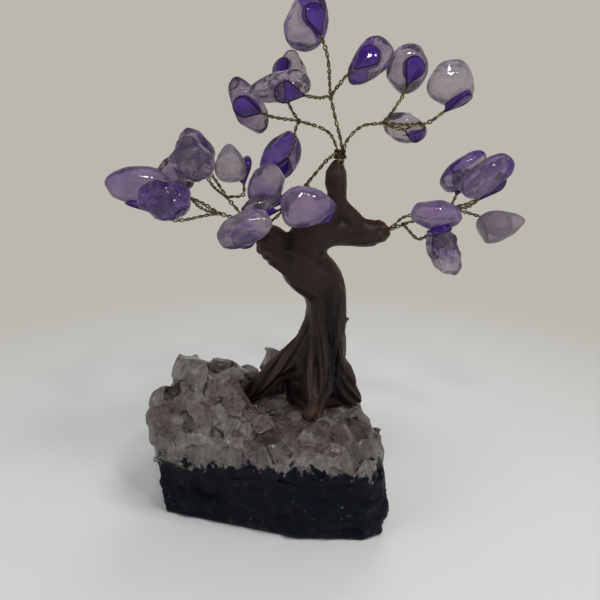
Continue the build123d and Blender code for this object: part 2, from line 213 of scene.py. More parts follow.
def remesh(obj, voxel, rounds):
    """An even skin over the object's closed shells, smoothed for some rounds."""
    skin = obj.modifiers.new("skin", "REMESH")
    skin.mode = "VOXEL"
    skin.voxel_size = voxel
    soften(obj, rounds)
    settle(obj)


def vertex_values(mesh, name):
    found = np.empty(len(mesh.vertices) * 3)
    mesh.vertices.foreach_get(name, found)
    return found.reshape(-1, 3)


def coords(mesh):
    return vertex_values(mesh, "co")


def normals(mesh):
    return vertex_values(mesh, "normal")


def set_coords(mesh, points):
    mesh.vertices.foreach_set("co", np.asarray(points, float).ravel())
    mesh.update()


def unit(rows):
    """Each row of an array, made one long."""
    return rows / np.linalg.norm(rows, axis=1)[:, None]


def field(points, scale, seed, octaves=1):
    """Smooth noise, one value for each point, about -1 to 1."""
    shift = Vector((17.3 * seed, -9.1 * seed, 5.7 * seed))
    if octaves == 1:
        return np.array([noise.noise(Vector(p) / scale + shift) for p in points])
    return np.array([noise.fractal(Vector(p) / scale + shift, 1.0, 2.1, octaves) for p in points])


def cells(points, scale, seed):
    """How far each point is from the edges of a cell pattern: 0 on an edge, about 1 inside."""
    shift = Vector((3.3 * seed, 7.9 * seed, -1.7 * seed))
    found = []
    for point in points:
        near = noise.voronoi(Vector(point) / scale + shift)[0]
        found.append(near[1] - near[0])
    return np.array(found)


def eased(points, mesh, rounds):
    """The points, each drawn towards its neighbours for some rounds."""
    edges = np.empty(len(mesh.edges) * 2, dtype=int)
    mesh.edges.foreach_get("vertices", edges)
    first, second = edges[::2], edges[1::2]
    count = np.bincount(edges, minlength=len(points))[:, None]
    for _ in range(rounds):
        total = np.zeros_like(points)
        for axis in range(3):
            total[:, axis] += np.bincount(first, points[second, axis], len(points))
            total[:, axis] += np.bincount(second, points[first, axis], len(points))
        points = 0.5 * points + 0.5 * total / count
    return points


def ridges(mesh, rounds, reach):
    """Above 0 on ridges and below 0 in hollows, 1 at most, where the surface stands out by reach."""
    points = coords(mesh)
    return np.clip(((points - eased(points, mesh, rounds)) * normals(mesh)).sum(1) / reach, -1, 1)


def pushed(points, pushes):
    """The points, drawn in or out around each place by its shift (place, reach and shift in mm)."""
    for place, reach, shift in pushes:
        gap = np.linalg.norm((points - np.array(place) * MM) / (np.array(reach) * MM), axis=1)
        points = points + np.exp(-gap**2)[:, None] * np.array(shift) * MM
    return points


def give(obj, name, values):
    """A value for each point of the object, for its material to read."""
    attribute = obj.data.attributes.new(name, "FLOAT", "POINT")
    attribute.data.foreach_set("value", np.asarray(values, float))


def finish(obj, material, solid):
    """Gives a piece its material and its place in the model, instead of the solid."""
    obj.data.materials.clear()
    obj.data.materials.append(material)
    obj.data.polygons.foreach_set("use_smooth", [True] * len(obj.data.polygons))
    obj.data.update()
    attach(obj, "root")
    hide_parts(solid)
    return obj


# Shader nodes

class Nodes:
    """Builds a node tree. Each call adds a node and gives back one of its outputs. An input takes a
    number, a colour or another node's output."""

    def __init__(self, tree):
        self.tree = tree
        tree.nodes.clear()

    def feed(self, socket, value):
        if isinstance(value, bpy.types.NodeSocket):
            self.tree.links.new(value, socket)
        else:
            socket.default_value = (*value, 1) if socket.type == "RGBA" else value

    def add(self, kind, inputs, output=0, **settings):
        made = self.tree.nodes.new(kind)
        for name, value in settings.items():
            setattr(made, name, value)
        for name, value in inputs.items():
            self.feed(made.inputs[name], value)
        return made.outputs[output]

    def show(self, shader, kind="ShaderNodeOutputMaterial"):
        self.feed(self.tree.nodes.new(kind).inputs["Surface"], shader)

    def attribute(self, name):
        return self.add("ShaderNodeAttribute", {}, "Fac", attribute_name=name)

    def place(self, space="Object"):
        return self.add("ShaderNodeTexCoord", {}, space)

    def axis(self, name, space="Object"):
        """The X, Y or Z of a place."""
        return self.add("ShaderNodeSeparateXYZ", {"Vector": self.place(space)}, name)

    def noise(self, scale, detail=3.0, roughness=0.55, distortion=0.0, stretch=None):
        """Noise in the object's own space. The scale is in cells to the metre."""
        place = self.place()
        if stretch:
            place = self.add("ShaderNodeMapping", {"Vector": place, "Scale": stretch})
        inputs = {"Vector": place, "Scale": scale, "Detail": detail, "Roughness": roughness}
        return self.add("ShaderNodeTexNoise", {**inputs, "Distortion": distortion}, "Fac")

    def maths(self, operation, *values):
        return self.add("ShaderNodeMath", dict(enumerate(values)), operation=operation)

    def scaled_sum(self, value, factor, other):
        """The value times the factor, plus the other value."""
        return self.maths("MULTIPLY_ADD", value, factor, other)

    def span(self, value, low, high, top=1.0, curve="LINEAR"):
        """0 where the value is low, rising to top where it is high."""
        inputs = {"Value": value, "From Min": low, "From Max": high, "To Max": top}
        return self.add("ShaderNodeMapRange", inputs, interpolation_type=curve)

    def ramp(self, value, stops, interpolation="LINEAR"):
        """A colour for each value. A stop's colour may be a grey, given as one number."""
        colour = self.add("ShaderNodeValToRGB", {"Fac": value}, "Color")
        scale = colour.node.color_ramp
        scale.interpolation = interpolation
        while len(scale.elements) < len(stops):
            scale.elements.new(0.5)
        for element, (place, shade) in zip(scale.elements, stops):
            element.position = place
            element.color = (*(shade if isinstance(shade, tuple) else (shade,) * 3), 1)
        return colour

    def mix(self, factor, first, second, blend="MIX"):
        inputs = {0: factor, 6: first, 7: second}
        return self.add("ShaderNodeMix", inputs, 2, data_type="RGBA", blend_type=blend)

    def times(self, first, second):
        return self.mix(1.0, first, second, "MULTIPLY")

    def bump(self, height, strength, distance, before=None):
        """The normal of a bumpy surface, on top of the bumps that gave the normal before."""
        inputs = {"Height": height, "Strength": strength, "Distance": distance}
        if before:
            inputs["Normal"] = before
        return self.add("ShaderNodeBump", inputs)

    def principled(self, **inputs):
        inputs = {name.replace("_", " "): value for name, value in inputs.items()}
        return self.add("ShaderNodeBsdfPrincipled", inputs)

    def blend(self, factor, first, second):
        return self.add("ShaderNodeMixShader", {0: factor, 1: first, 2: second})


def new_material(name):
    material = bpy.data.materials.new(name)
    material.use_nodes = True
    return material, Nodes(material.node_tree)


# Materials

def wire_material():
    """Craft wire with a brown patina, darker where glue coats it."""
    material, nodes = new_material("bronze_wire")
    patina = nodes.noise(900, 4)
    bronze = nodes.ramp(patina, [
        (0.30, (0.045, 0.036, 0.018)), (0.46, (0.15, 0.12, 0.055)), (0.60, (0.34, 0.28, 0.13)),
        (0.76, (0.60, 0.50, 0.28)),
    ])
    nodes.show(nodes.principled(
        Base_Color=nodes.mix(nodes.attribute("coated"), bronze, (0.050, 0.032, 0.040)),
        Metallic=1.0,
        Roughness=nodes.ramp(patina, [(0.35, 0.48), (0.75, 0.24)]),
        Normal=nodes.bump(nodes.noise(2600, 2), 0.15, 0.05 * MM),
    ))
    return material


def dark_wire_material():
    """The tarnished wire of the binding."""
    material, nodes = new_material("dark_wire")
    tarnish = nodes.noise(1200, 4)
    nodes.show(nodes.principled(
        Base_Color=nodes.ramp(tarnish, [(0.35, (0.02, 0.014, 0.010)), (0.70, (0.11, 0.075, 0.04))]),
        Metallic=0.8, Roughness=0.45,
        Normal=nodes.bump(tarnish, 0.2, 0.06 * MM),
    ))
    return material


def glue_material():
    """Glue with a deep violet dye in swirls, a little clear."""
    material, nodes = new_material("dyed_glue")
    swirl = nodes.noise(240, 3, distortion=0.8)
    nodes.show(nodes.principled(
        Base_Color=nodes.ramp(swirl, [(0.34, (0.042, 0.010, 0.165)), (0.70, (0.105, 0.030, 0.34))]),
        Roughness=0.10, IOR=1.46, Transmission_Weight=0.30, Coat_Weight=0.3, Coat_Roughness=0.05,
        Normal=nodes.bump(nodes.noise(420, 2), 0.12, 0.2 * MM),
    ))
    return material


def stone_material(name, pale, deep, clear, bands, seed):
    """Tumbled amethyst. pale and deep are its two tints, clear how much light goes through, and
    bands how strongly the tint runs in bands. The dye attribute says where the tint is deep, and
    the film attribute where dyed glue has spread over the stone."""
    material, nodes = new_material("amethyst_" + name)
    cloud = nodes.noise(150 + 9 * seed, 4, 0.6, 1.2)
    band = nodes.noise(260, 2, 0.4, 0.6, (1.0, 1.0, 3.0) if seed % 2 else (3.0, 1.0, 1.0))
    zone = nodes.scaled_sum(band, bands, nodes.scaled_sum(cloud, 0.9, nodes.attribute("dye")))
    level = 0.45 + bands / 2
    between = tuple((p + d) / 2 for p, d in zip(pale, deep))
    stone = nodes.ramp(zone, [
        (min(level - 0.12, 1), pale), (min(level + 0.12, 1), between), (min(level + 0.42, 1), deep),
    ], "EASE")
    covered = nodes.ramp(nodes.attribute("film"), [(0.46, 0), (0.54, 1)])
    swirl = nodes.noise(380, 3, 0.5, 0.8)
    glue = nodes.ramp(swirl, [(0.35, (0.110, 0.040, 0.34)), (0.68, (0.21, 0.105, 0.48))])
    veil = nodes.noise(330, 5, 0.65, 0.5)
    nodes.show(nodes.principled(
        Base_Color=nodes.mix(covered, stone, glue),
        Transmission_Weight=nodes.ramp(veil, [(0.44, clear), (0.66, clear * 0.74)]),
        Roughness=0.05, IOR=1.54,
        Normal=nodes.bump(nodes.noise(300, 3), 0.12, 0.3 * MM),
    ))
    return material


def bark_material():
    """Dark brown moulded bark, with painted shade that makes it near black in its folds, down its front
    and on its feet, and a painted highlight that makes it reddish on its ridges. The tan attribute
    says where it is paler tan."""
    material, nodes = new_material("moulded_bark")
    streak = nodes.noise(210, 4, 0.5, 0.5, (1.0, 1.0, 0.22))
    # painted shade and painted highlight: low ridge values (folds, the band down the front, the feet) go
    # near black, high ones reddish
    bark = nodes.ramp(nodes.scaled_sum(streak, 0.22, nodes.attribute("ridge")), [
        (0.18, (0.0016, 0.0013, 0.0015)), (0.40, (0.0085, 0.0046, 0.0042)), (0.58, (0.024, 0.0125, 0.0108)),
        (0.80, (0.039, 0.0200, 0.0160)), (1.0, (0.066, 0.034, 0.024)),
    ])
    fine = nodes.bump(nodes.noise(900, 4), 0.20, 0.12 * MM)
    nodes.show(nodes.principled(
        Base_Color=nodes.mix(nodes.attribute("tan"), bark, (0.100, 0.060, 0.044)),
        Roughness=nodes.ramp(nodes.noise(500, 4), [(0.3, 0.36), (0.7, 0.50)]),
        Specular_IOR_Level=0.25,
        Normal=nodes.bump(streak, 0.35, 0.30 * MM, fine),
    ))
    return material


# How high the paint reaches along the block, from its left end to its right, in shares of its climb
PAINT_LINE_SHARES = [
    (0.0, 0.02), (0.22, 0.10), (0.40, 0.30), (0.52, 0.52), (0.66, 0.40), (0.85, 0.30), (1.0, 0.25),
]
PAINT_CLIMB = 10 * MM
BLOCK_REACH = 36 * MM
RAGGEDNESS = 24 * MM
# Where the paint ends, where the quartz is bare, and where the frosted fringe ends, with the ragged
# noise and the line taken off
EDGE_LOW, EDGE_HIGH = PAINT_HEIGHT - 12.1 * MM, PAINT_HEIGHT - 11.8 * MM
FRINGE_TOP = PAINT_HEIGHT - 10.0 * MM


def paint_depth(nodes):
    """How high a place is over the paint's ragged edge. Crystals that stand out are less painted."""
    line = nodes.ramp(nodes.span(nodes.axis("X"), -BLOCK_REACH, BLOCK_REACH), PAINT_LINE_SHARES, "B_SPLINE")
    ragged = nodes.noise(260, 9, 0.80, 0.3, (1.0, 1.0, 0.55))
    lifted = nodes.scaled_sum(ragged, -RAGGEDNESS, nodes.axis("Z"))
    level = nodes.scaled_sum(line, -PAINT_CLIMB, lifted)
    return nodes.scaled_sum(nodes.attribute("ridge"), 2.2 * MM, level)


def paint_shader(nodes):
    """Matt navy-black paint, chipped in a few small spots."""
    dust = nodes.noise(420, 6, 0.7)
    grain = nodes.bump(nodes.noise(1500, 3), 0.3, 0.12 * MM)
    return nodes.principled(
        Base_Color=nodes.ramp(dust, [
            (0.35, (0.0008, 0.0018, 0.0062)), (0.58, (0.0020, 0.0036, 0.0108)),
            (0.65, (0.0070, 0.0095, 0.0180)), (0.690, (0.13, 0.13, 0.135)),
        ]),
        Roughness=0.42, Specular_IOR_Level=0.13,
        Normal=nodes.bump(dust, 0.9, 0.9 * MM, grain),
    )


def quartz_tint_and_painted_light(nodes, striae):
    """Greyish mauve, its own shade on each face, with a painted highlight on its edges and painted shade in
    the hollows between its crystals.
    """
    ridge = nodes.attribute("ridge")
    body = nodes.ramp(nodes.scaled_sum(nodes.attribute("tint"), 0.30, nodes.noise(95, 5, 0.6, 0.9)), [
        (0.26, (0.070, 0.050, 0.050)), (0.45, (0.160, 0.122, 0.118)), (0.60, (0.265, 0.222, 0.210)),
        (0.80, (0.44, 0.42, 0.38)),
    ])
    streaked = nodes.times(body, nodes.ramp(striae, [(0.36, (0.62, 0.60, 0.60)), (0.62, 1.15)]))
    # painted highlight: the crystals' edges are made paler grey
    painted_edge_highlight = nodes.ramp(ridge, [(0.35, 0), (0.9, 0.6)])
    # painted shade: the hollows between the crystals are made darker
    painted_crack_shade = nodes.ramp(nodes.maths("ADD", ridge, 0.5), [(0.0, (0.30, 0.28, 0.28)), (0.24, 1)])
    return nodes.times(nodes.mix(painted_edge_highlight, streaked, (0.36, 0.34, 0.32)), painted_crack_shade)


def quartz_shader(nodes, fringe, clear):
    """Quartz with fine growth lines, frosted in patches near the paint and on its fringe."""
    striae = nodes.noise(900, 4, 0.6, 0.3, (1.0, 1.0, 0.14))
    near_line = nodes.span(nodes.axis("Z"), PAINT_HEIGHT + 11 * MM, PAINT_HEIGHT + 1 * MM, 0.75)
    patches = nodes.ramp(nodes.noise(500, 6, 0.75), [(0.50, 0), (0.62, 1)])
    frost = nodes.maths("MULTIPLY", nodes.maths("MAXIMUM", near_line, fringe), patches)
    chips = nodes.bump(nodes.noise(1300, 4, 0.7), 0.35, 0.18 * MM)
    return nodes.principled(
        Base_Color=nodes.mix(frost, quartz_tint_and_painted_light(nodes, striae), (0.40, 0.39, 0.35)),
        Roughness=nodes.ramp(nodes.noise(700, 4), [(0.35, 0.05), (0.65, 0.26)]),
        IOR=1.54, Specular_IOR_Level=0.5, Transmission_Weight=clear,
        Normal=nodes.bump(striae, 0.45, 0.35 * MM, chips),
    )


def rock_material(name, clear):
    """Quartz above the paint's ragged edge and matt paint below it."""
    material, nodes = new_material(name)
    depth = paint_depth(nodes)
    bare = nodes.span(depth, EDGE_LOW, EDGE_HIGH)
    fringe = nodes.span(depth, FRINGE_TOP, EDGE_HIGH)
    nodes.show(nodes.blend(bare, paint_shader(nodes), quartz_shader(nodes, fringe, clear)))
    return material


# Loops: each is read from the glue pad that fills it

Loop = namedtuple("Loop", "name origin out into")
LOOP_STEPS, STRAIGHT_STEPS = 22, 5
# How far a pad reaches past its wire towards its stone
PAD_SINK = 0.12 * MM


def shells(mesh):
    """The separate shells of a mesh, each as an array of its points."""
    bm = bmesh.new()
    bm.from_mesh(mesh)
    bm.verts.ensure_lookup_table()
    seen, found = set(), []
    for start in bm.verts:
        if start.index in seen:
            continue
        seen.add(start.index)
        group, queue = [], [start]
        while queue:
            vert = queue.pop()
            group.append(vert.co.copy())
            for edge in vert.link_edges:
                other = edge.other_vert(vert)
                if other.index not in seen:
                    seen.add(other.index)
                    queue.append(other)
        found.append(np.array(group))
    bm.free()
    return found


def read_loops(branch):
    """Each loop of a branch: its stone's name, its centre, its way to its tip and into its stone."""
    pads = solid_copy("glue_pads_" + branch, "pads_to_read")
    centres = {name: sum(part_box("gem_" + name), Vector()) / 2 for name in BRANCH_STONES[branch]}
    loops = []
    for points in shells(pads.data):
        middle = points.mean(0)
        far = np.argsort(-np.linalg.norm(points - middle, axis=1))[:2]
        low, high = Vector(points[far[0]]), Vector(points[far[1]])
        into = (high - low).normalized()
        name = min(centres, key=lambda key: (centres[key] - Vector(middle)).length)
        if into.dot(centres[name] - Vector(middle)) < 0:
            into, low, high = -into, high, low
        out = (low + high) / 2 - Vector(middle)
        out = (out - into * out.dot(into)).normalized()
        wire_level = high - into * (WIRE_RADIUS + PAD_SINK)
        reach = LOOP_REACH - 2 * GLUE_INSET
        loops.append(Loop(name, wire_level - out * reach, out, into))
        centres.pop(name)
    bpy.data.objects.remove(pads)
    return loops


def teardrop():
    """A loop's outline, from its tip round its far end and back to its tip."""
    touch = math.acos(LOOP_RADIUS / LOOP_REACH)
    arc = [touch + (2 * math.pi - 2 * touch) * k / LOOP_STEPS for k in range(LOOP_STEPS + 1)]
    points = [(LOOP_RADIUS * math.cos(a), LOOP_RADIUS * math.sin(a)) for a in arc]
    x, y = points[0]
    shares = [k / STRAIGHT_STEPS for k in range(STRAIGHT_STEPS)]
    leave = [(LOOP_REACH + (x - LOOP_REACH) * share, y * share) for share in shares]
    return leave + points + [(x, -y) for x, y in reversed(leave)]


# Wire

STRAND_RADIUS, STRAND_REACH = 0.225 * MM, 0.245 * MM
PAIR_PITCH, STEM_PITCH = 3.9 * MM, 4.2 * MM
SPACING = 0.17 * MM
TUBE_SIDES = 8
# How often the twist wanders, and how often it opens
WANDER_WAVE, EYE_WAVE = 4.0 * MM, 2.2 * MM
BINDING_TURNS, BINDING_STEPS = 5, 28


def spline(points, spacing, tangents=None):
    """Points along a smooth line through the given ones, evenly spaced."""
    points = [Vector(p) for p in points]
    if tangents is None:
        tangents = [None] * len(points)
    slopes = []
    for k, point in enumerate(points):
        before, after = points[max(k - 1, 0)], points[min(k + 1, len(points) - 1)]
        slopes.append(tangents[k] or (after - before) / (2 if 0 < k < len(points) - 1 else 1))
    dense = []
    for k in range(len(points) - 1):
        a, b = points[k], points[k + 1]
        run = (b - a).length
        ta = slopes[k].normalized() * run
        tb = slopes[k + 1].normalized() * run
        for j in range(24):
            t = j / 24
            dense.append(
                a * (2 * t**3 - 3 * t**2 + 1) + ta * (t**3 - 2 * t**2 + t)
                + b * (-2 * t**3 + 3 * t**2) + tb * (t**3 - t**2)
            )
    dense.append(points[-1])
    dense = np.array(dense)
    along = np.concatenate([[0], np.cumsum(np.linalg.norm(np.diff(dense, axis=0), axis=1))])
    count = max(int(along[-1] / spacing), 3)
    even = np.linspace(0, along[-1], count + 1)
    return np.column_stack([np.interp(even, along, dense[:, axis]) for axis in range(3)])


def frames_along(line):
    """A steady pair of side directions along a line of points."""
    tangents = unit(np.gradient(line, axis=0))
    side = np.cross(tangents[0], [0.31, 0.87, 0.39])
    sides = []
    for tangent in tangents:
        side = side - tangent * side.dot(tangent)
        side /= np.linalg.norm(side)
        sides.append(side)
    sides = np.array(sides)
    return sides, np.cross(tangents, sides)


def strand(line, phase, pitch, seed):
    """One strand twisted round a line. The twist is uneven, and opens into small eyes in places."""
    sides, ups = frames_along(line)
    step = np.linalg.norm(np.diff(line, axis=0), axis=1).mean()
    along = np.arange(len(line)) * step
    wander = np.array([noise.noise(Vector((s / WANDER_WAVE, seed * 3.7, 0.5))) for s in along])
    angle = phase + 2 * math.pi * along / pitch + 1.3 * wander
    loose = np.array([noise.noise(Vector((s / EYE_WAVE, 0.2, seed * 5.3))) for s in along])
    reach = STRAND_REACH * (1.0 + 1.3 * np.clip(loose, 0, 1))
    return line + (sides * np.cos(angle)[:, None] + ups * np.sin(angle)[:, None]) * reach[:, None]


class Tubes:
    """Collects tubes into one mesh. A tube's coat says how far glue covers it."""

    def __init__(self):
        self.points, self.faces, self.coats = [], [], []

    def add(self, line, radius, coat=0.0):
        self.coats += [coat] * (len(line) * TUBE_SIDES)
        angles = np.linspace(0, 2 * math.pi, TUBE_SIDES, endpoint=False)
        first = len(self.points)
        for point, across, up in zip(line, *frames_along(line)):
            for angle in angles:
                self.points.append(point + radius * (across * math.cos(angle) + up * math.sin(angle)))
        for ring in range(len(line) - 1):
            for k in range(TUBE_SIDES):
                low = first + ring * TUBE_SIDES
                high = low + TUBE_SIDES
                nxt = (k + 1) % TUBE_SIDES
                self.faces.append((low + k, low + nxt, high + nxt, high + k))
        last = first + (len(line) - 1) * TUBE_SIDES
        self.faces.append(tuple(first + k for k in reversed(range(TUBE_SIDES))))
        self.faces.append(tuple(last + k for k in range(TUBE_SIDES)))

    def link(self, name):
        made = bpy.data.meshes.new(name)
        made.from_pydata([tuple(p) for p in self.points], [], self.faces)
        made.update()
        return link(name, made)


def make_wire(branch, loops, material):
    """A branch's wire: twisted strands along its stem, a twisted pair along each twig, and loops."""
    limb, (right, back), shares = STEMS[branch]
    beside = Vector((right * BUNDLE_OFFSET, back * BUNDLE_OFFSET, 0))
    stem = [in_crown(limb, *share) + beside for share in [(0, 0, 0), *shares]]
    tubes = Tubes()
    line = spline(stem, SPACING)
    for phase in (0, math.pi):
        tubes.add(strand(line, phase, STEM_PITCH, len(branch)), STRAND_RADIUS)
    last = (stem[-1] - stem[-2]).normalized()
    start = stem[-1] - last * TWIG_ROOT
    for number, (name, origin, out, into) in enumerate(loops):
        tip = origin + out * LOOP_REACH
        lead = (tip - stem[-1]).length / 3
        before = origin + out * (LOOP_REACH + LOOP_NECK + lead)
        twig = spline([start, before, tip], SPACING, [last + (before - start).normalized(), None, -out])
        for phase in (0, math.pi):
            tubes.add(strand(twig, phase, PAIR_PITCH, 3 + number), STRAND_RADIUS)
        across = into.cross(out)
        loop = [origin + out * x + across * y for x, y in teardrop()]
        tubes.add(spline(loop, SPACING * 1.5), STRAND_RADIUS, coat=1.0)
    wire = tubes.link("twisted_wire_" + branch)
    give(wire, "coated", tubes.coats)
    finish(wire, material, "branch_wire_" + branch)


def make_binding(material):
    """Dark wire wound tightly round the bundle at the tip of the trunk."""
    low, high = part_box("top_binding")
    middle = (low + high) / 2
    radius = (high.x - low.x) / 2 - WIRE_RADIUS * 1.2
    line = []
    for k in range(BINDING_TURNS * BINDING_STEPS + 1):
        angle = 2 * math.pi * k / BINDING_STEPS
        share = k / (BINDING_TURNS * BINDING_STEPS)
        reach = radius * (1 - 0.18 * share) + 0.10 * MM * math.sin(2.3 * angle)
        line.append(Vector((
            middle.x + reach * math.cos(angle), middle.y + reach * math.sin(angle),
            low.z + WIRE_RADIUS + (high.z - low.z - 2 * WIRE_RADIUS) * share,
        )))
    tubes = Tubes()
    tubes.add(np.array(line), WIRE_RADIUS * 1.15)
    finish(tubes.link("wound_binding"), material, "top_binding")


# Stones

GREY = (0.42, 0.35, 0.41)
LILAC = (0.38, 0.28, 0.44)
CLEAR = (0.56, 0.50, 0.56)
VIOLET = (0.21, 0.12, 0.37)
DEEP = (0.13, 0.055, 0.32)
ROSE = (0.44, 0.34, 0.40)

# Pale and deep tints, how clear, how banded, how lumpy (mm), how far the tint spreads from the loop
# (mm), and where dyed glue covers the stone: its side in the picture (degrees from the right,
# anticlockwise) and where its edge is (share of the stone's reach on that side)
STONES = {
    "left_1": (LILAC, VIOLET, 0.80, 0.2, 0.20, 2.0, None),
    "left_2": (GREY, VIOLET, 0.95, 0.2, 0.35, 3.0, None),
    "left_3": (VIOLET, DEEP, 0.86, 0.5, 0.95, 4.0, None),
    "left_4": (LILAC, VIOLET, 0.90, 0.3, 0.30, 2.0, None),
    "left_5": (GREY, VIOLET, 0.86, 0.5, 0.85, 2.5, None),
    "left_6": (CLEAR, ROSE, 0.66, 0.1, 0.20, 1.5, None),
    "front_1": (GREY, VIOLET, 0.82, 0.4, 0.30, 3.5, None),
    "front_2": (GREY, VIOLET, 0.94, 0.4, 0.25, 1.5, None),
    "front_3": (GREY, VIOLET, 0.74, 0.7, 0.30, 3.0, None),
    "front_4": (LILAC, VIOLET, 0.80, 0.5, 0.30, 3.5, None),
    "upper_1": (GREY, VIOLET, 0.94, 0.3, 0.25, 2.5, None),
    "upper_2": (CLEAR, GREY, 0.96, 0.2, 0.35, 1.0, None),
    "upper_3": (LILAC, VIOLET, 0.94, 0.3, 0.25, 2.0, (125, -0.12)),
    "upper_4": (CLEAR, VIOLET, 0.96, 0.3, 0.40, 1.0, None),
    "top_1": (CLEAR, VIOLET, 0.95, 0.3, 0.30, 2.0, (25, 0.02)),
    "upper_5": (CLEAR, VIOLET, 0.95, 0.3, 0.30, 2.0, (172, 0.02)),
    "upper_6": (CLEAR, VIOLET, 0.96, 0.2, 0.25, 1.0, None),
    "upper_7": (CLEAR, GREY, 0.76, 0.2, 0.20, 1.0, None),
    "upper_8": (CLEAR, GREY, 0.92, 0.2, 0.25, 1.0, None),
    "right_1": (LILAC, VIOLET, 0.72, 0.6, 0.18, 3.0, None),
    "right_2": (CLEAR, DEEP, 0.94, 0.5, 0.85, 3.0, None),
    "right_3": (CLEAR, VIOLET, 0.95, 0.3, 0.25, 1.5, (120, 0.35)),
    "right_4": (LILAC, VIOLET, 0.80, 0.4, 0.25, 3.0, (-20, 0.55)),
    "right_5": (LILAC, VIOLET, 0.80, 0.3, 0.40, 3.0, None),
    "right_6": (ROSE, GREY, 0.66, 0.4, 0.22, 1.5, None),
}
STONE_VOXEL = 0.42 * MM
STONE_FLATS = 5
FILM_BLUR = 2.0 * MM


def with_flats(points, middle, draw):
    """A stone's points, with soft flats across it on some sides."""
    for _ in range(STONE_FLATS):
        facing = np.array([draw.uniform(-1, 1) for _ in range(3)])
        facing /= np.linalg.norm(facing)
        along = (points - middle) @ facing
        limit = along.max() * draw.uniform(0.80, 0.93)
        points = points - np.clip(along - limit, 0, None)[:, None] * facing * 0.75
    return points


def glue_film(points, middle, covered, seed):
    """How far dyed glue covers each point of a stone, with a wavy edge at one half."""
    if not covered:
        return np.zeros(len(points))
    angle, edge_share = covered
    along = (points - middle) @ np.array(picture_way(angle))
    wave = 0.35 * MM * field(points, 3.0 * MM, seed + 120)
    return np.clip(0.5 + (along - edge_share * along.max() + wave) / FILM_BLUR, 0, 1)


def make_stone(loop):
    """A tumbled stone: the solid's form with soft flats, lumps and small pits."""
    name = loop.name
    pale, deep, clear, bands, lumps, spread, covered = STONES[name]
    seed = sorted(STONES).index(name) + 1
    stone = solid_copy("gem_" + name, "stone_" + name)
    remesh(stone, STONE_VOXEL, 6)
    points = coords(stone.data)
    middle, size = points.mean(0), np.ptp(points, axis=0).mean()
    points = with_flats(points, middle, random.Random(seed))
    set_coords(stone.data, points)
    swell = field(points, 0.32 * size, seed) * lumps * 1.2
    swell += field(points, 0.12 * size, seed + 40) * lumps * 0.35
    set_coords(stone.data, points + normals(stone.data) * (np.clip(swell, -1.2, 0.5) * MM)[:, None])
    soften(stone, 2)
    finer = stone.modifiers.new("finer", "SUBSURF")
    finer.levels = finer.render_levels = 1
    settle(stone)
    points = coords(stone.data)
    gap = np.linalg.norm(points - np.array(loop.origin), axis=1)
    dye = np.clip(1.0 - (gap - LOOP_RADIUS) / (spread * MM), 0, 1) * 0.55
    give(stone, "dye", dye + 0.22 * field(points, 0.5 * size, seed + 80))
    give(stone, "film", glue_film(points, middle, covered, seed))
    material = stone_material(name, pale, deep, clear, bands, seed)
    return finish(stone, material, "gem_" + name)


# Glue

# Loops that the glue fills only in part: the side left open, and how far the glue reaches towards it
OPEN_GLUE = {"upper_4": (180, -0.05), "upper_7": (-60, 0.55), "upper_8": (100, 0.10)}
PAD_RINGS = 7
PAD_RIM, PAD_DOME = 0.12 * MM, 0.42 * MM
# The glue's gap from the stone, and the most and the usual depth of a pad behind its loop
PAD_GAP, PAD_DEPTH, PAD_USUAL = 0.05 * MM, 1.6 * MM, 0.30 * MM
PROBE_BACK, PROBE_REACH = 2.0 * MM, 4.5 * MM


def pad_outline(name, out, across):
    """The outline of the glue in a loop, and its middle, in the loop's own two directions."""
    outline = teardrop()[:-1]
    if name not in OPEN_GLUE:
        return outline, Vector((0, 0))
    angle, reach_share = OPEN_GLUE[name]
    towards = Vector(picture_way(angle))
    way = Vector((towards.dot(out), towards.dot(across))).normalized()
    edge = reach_share * LOOP_RADIUS
    outline = [tuple(Vector(at) - way * max(way.dot(Vector(at)) - edge, 0)) for at in outline]
    return outline, way * min(edge - 0.35 * LOOP_RADIUS, 0)


def pad_points(loop, tree):
    """The points of a pad, and how many there are in each ring: rings outwards on its open side,
    rings outwards on its stone's side, and the middle of each side."""
    name, origin, out, into = loop
    across = into.cross(out)
    outline, middle = pad_outline(name, out, across)

    def behind(place):
        hit = tree.ray_cast(place - into * PROBE_BACK, into, PROBE_REACH)
        return hit[3] - PROBE_BACK + PAD_GAP if hit[0] else PAD_USUAL

    found = []
    for side in (-1, 1):
        for ring in range(1, PAD_RINGS + 1):
            share = ring / PAD_RINGS
            for x, y in outline:
                spread = share * (1.0 if side < 0 else 1.0 + 0.12 * share)
                flat = middle + (Vector((x, y)) - middle) * spread
                place = origin + out * flat.x + across * flat.y
                if side < 0:
                    level = -(PAD_RIM + PAD_DOME * (1 - share**2.5))
                else:
                    level = min(max(behind(place), PAD_GAP), PAD_DEPTH)
                found.append(place + into * level)
    heart = origin + out * middle.x + across * middle.y
    return found + [heart - into * (PAD_RIM + PAD_DOME), heart + into * behind(heart)], len(outline)


def pad_faces(first, count):
    """The faces of a pad whose points start at first, with count points in each ring."""
    faces = []
    middle = first + 2 * PAD_RINGS * count
    steps = [(k, (k + 1) % count) for k in range(count)]
    for side in (0, 1):
        base = first + side * PAD_RINGS * count
        for k, nxt in steps:
            tri = (middle + side, base + k, base + nxt)
            faces.append(tri if side else tri[::-1])
            for ring in range(PAD_RINGS - 1):
                low, high = base + ring * count, base + (ring + 1) * count
                quad = (low + k, high + k, high + nxt, low + nxt)
                faces.append(quad if side else quad[::-1])
    rim_low, rim_high = first + (PAD_RINGS - 1) * count, first + (2 * PAD_RINGS - 1) * count
    return faces + [(rim_low + k, rim_low + nxt, rim_high + nxt, rim_high + k) for k, nxt in steps]


